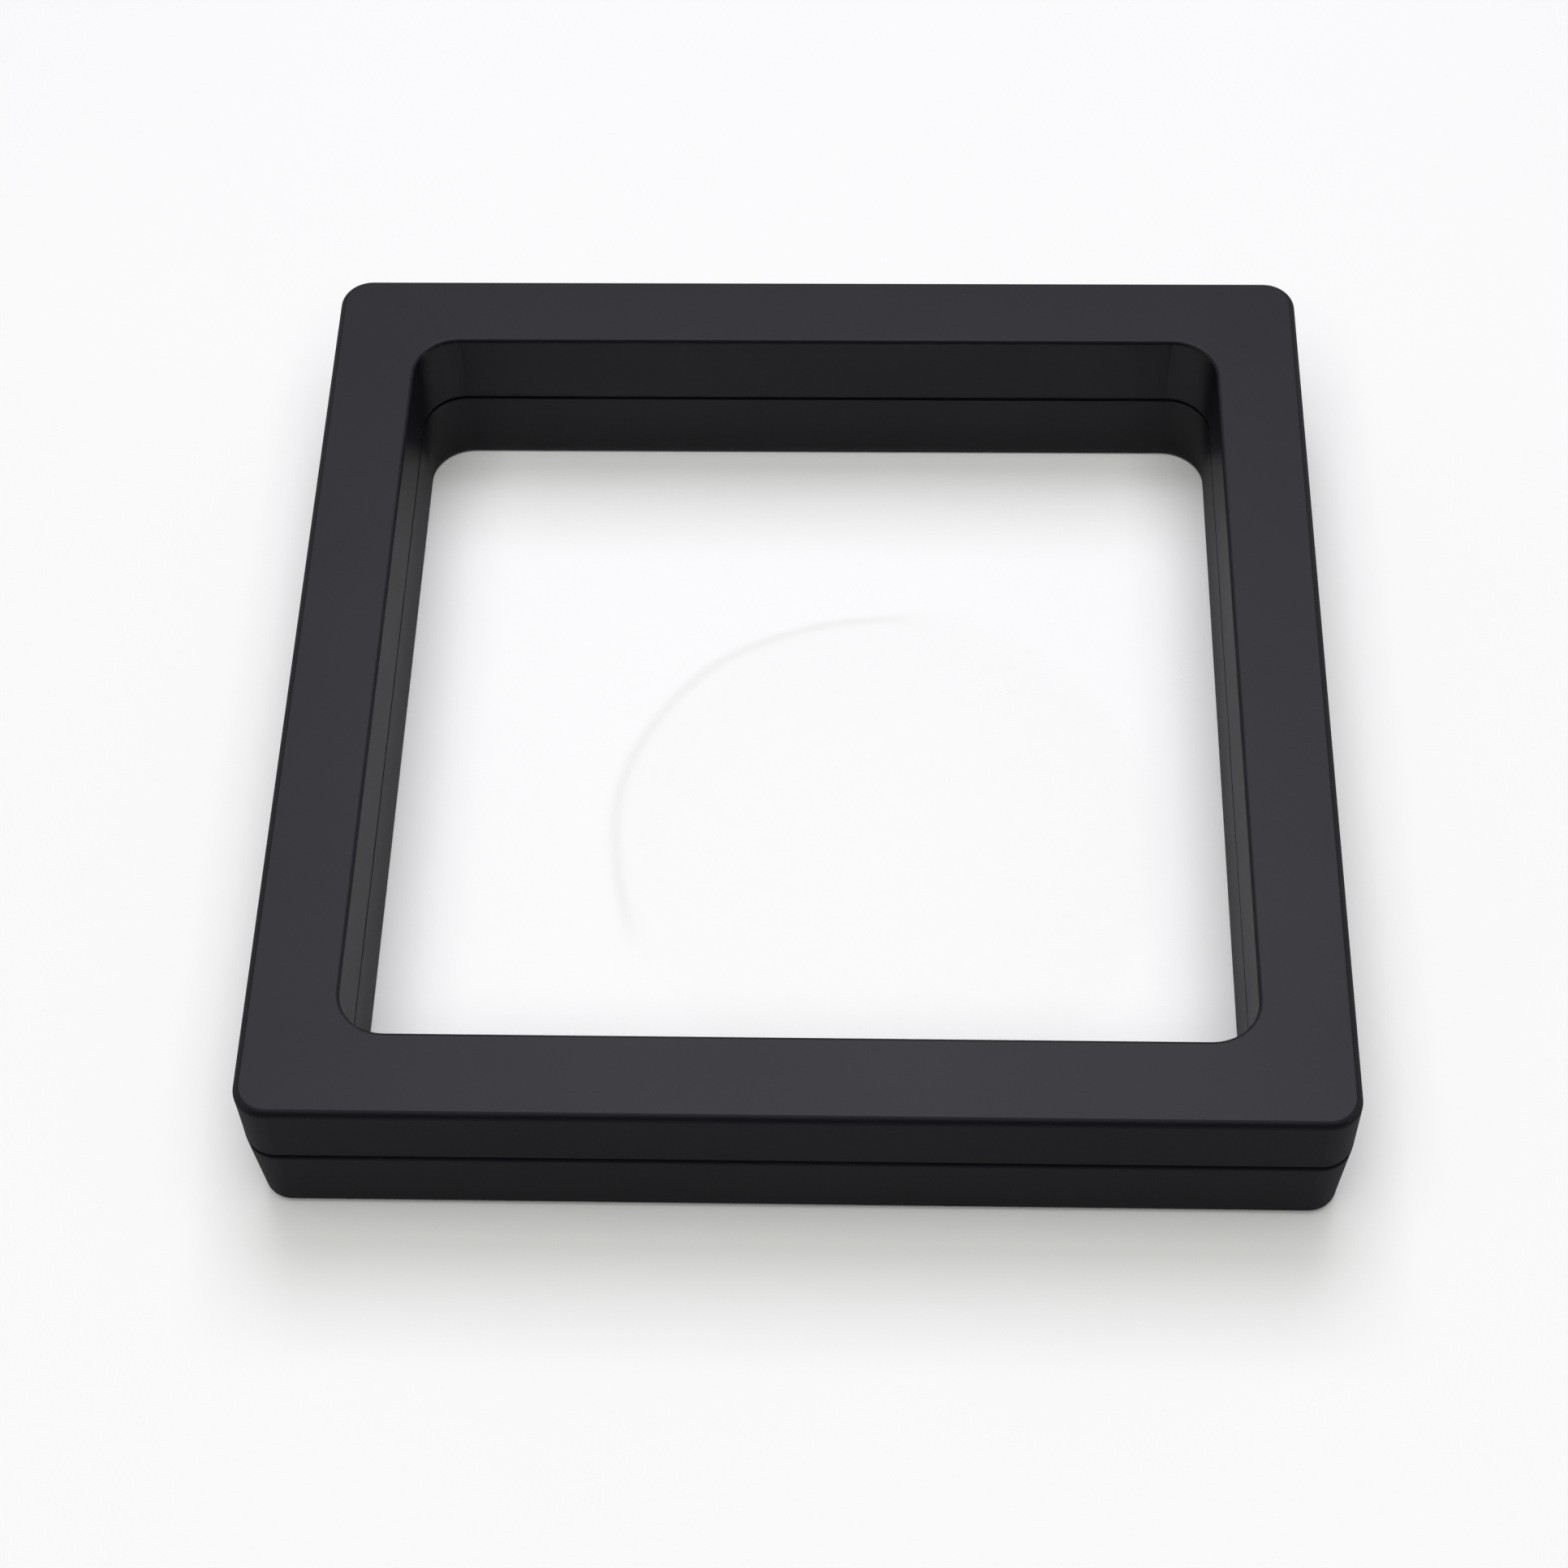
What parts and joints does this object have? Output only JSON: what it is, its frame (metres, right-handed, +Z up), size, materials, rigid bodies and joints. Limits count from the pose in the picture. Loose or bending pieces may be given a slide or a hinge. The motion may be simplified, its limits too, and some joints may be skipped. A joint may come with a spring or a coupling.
{
  "type": "jewelry display box",
  "caption": "Square hinged display case with black half-frames and clear stretched films that hold a piece of jewelry floating in the window.",
  "frame": {"origin": "on the table plane, under the middle of the closed case's outline with its hinge knuckles", "axes": "+X to the right, +Y to the hinged back, +Z up through the upper half"},
  "size_m": [0.11, 0.113, 0.0196],
  "materials": {
    "moulding": "satin black",
    "film": "clear",
    "pin_steel": "plain"
  },
  "bodies": {
    "base": {"lower_frame": "moulding", "lower_carrier": "moulding", "lower_film": "film", "hinge_pin_left": "pin_steel", "hinge_pin_right": "pin_steel"},
    "lid": {"upper_frame": "moulding", "upper_carrier": "moulding", "upper_film": "film"}
  },
  "joints": [
    {"name": "lid_hinge", "type": "hinge", "parent": "base", "child": "lid", "pos_m": [0, 0.0544, 0.0112], "axis": [-1, 0, 0], "range_deg": [0, 180]}
  ]
}
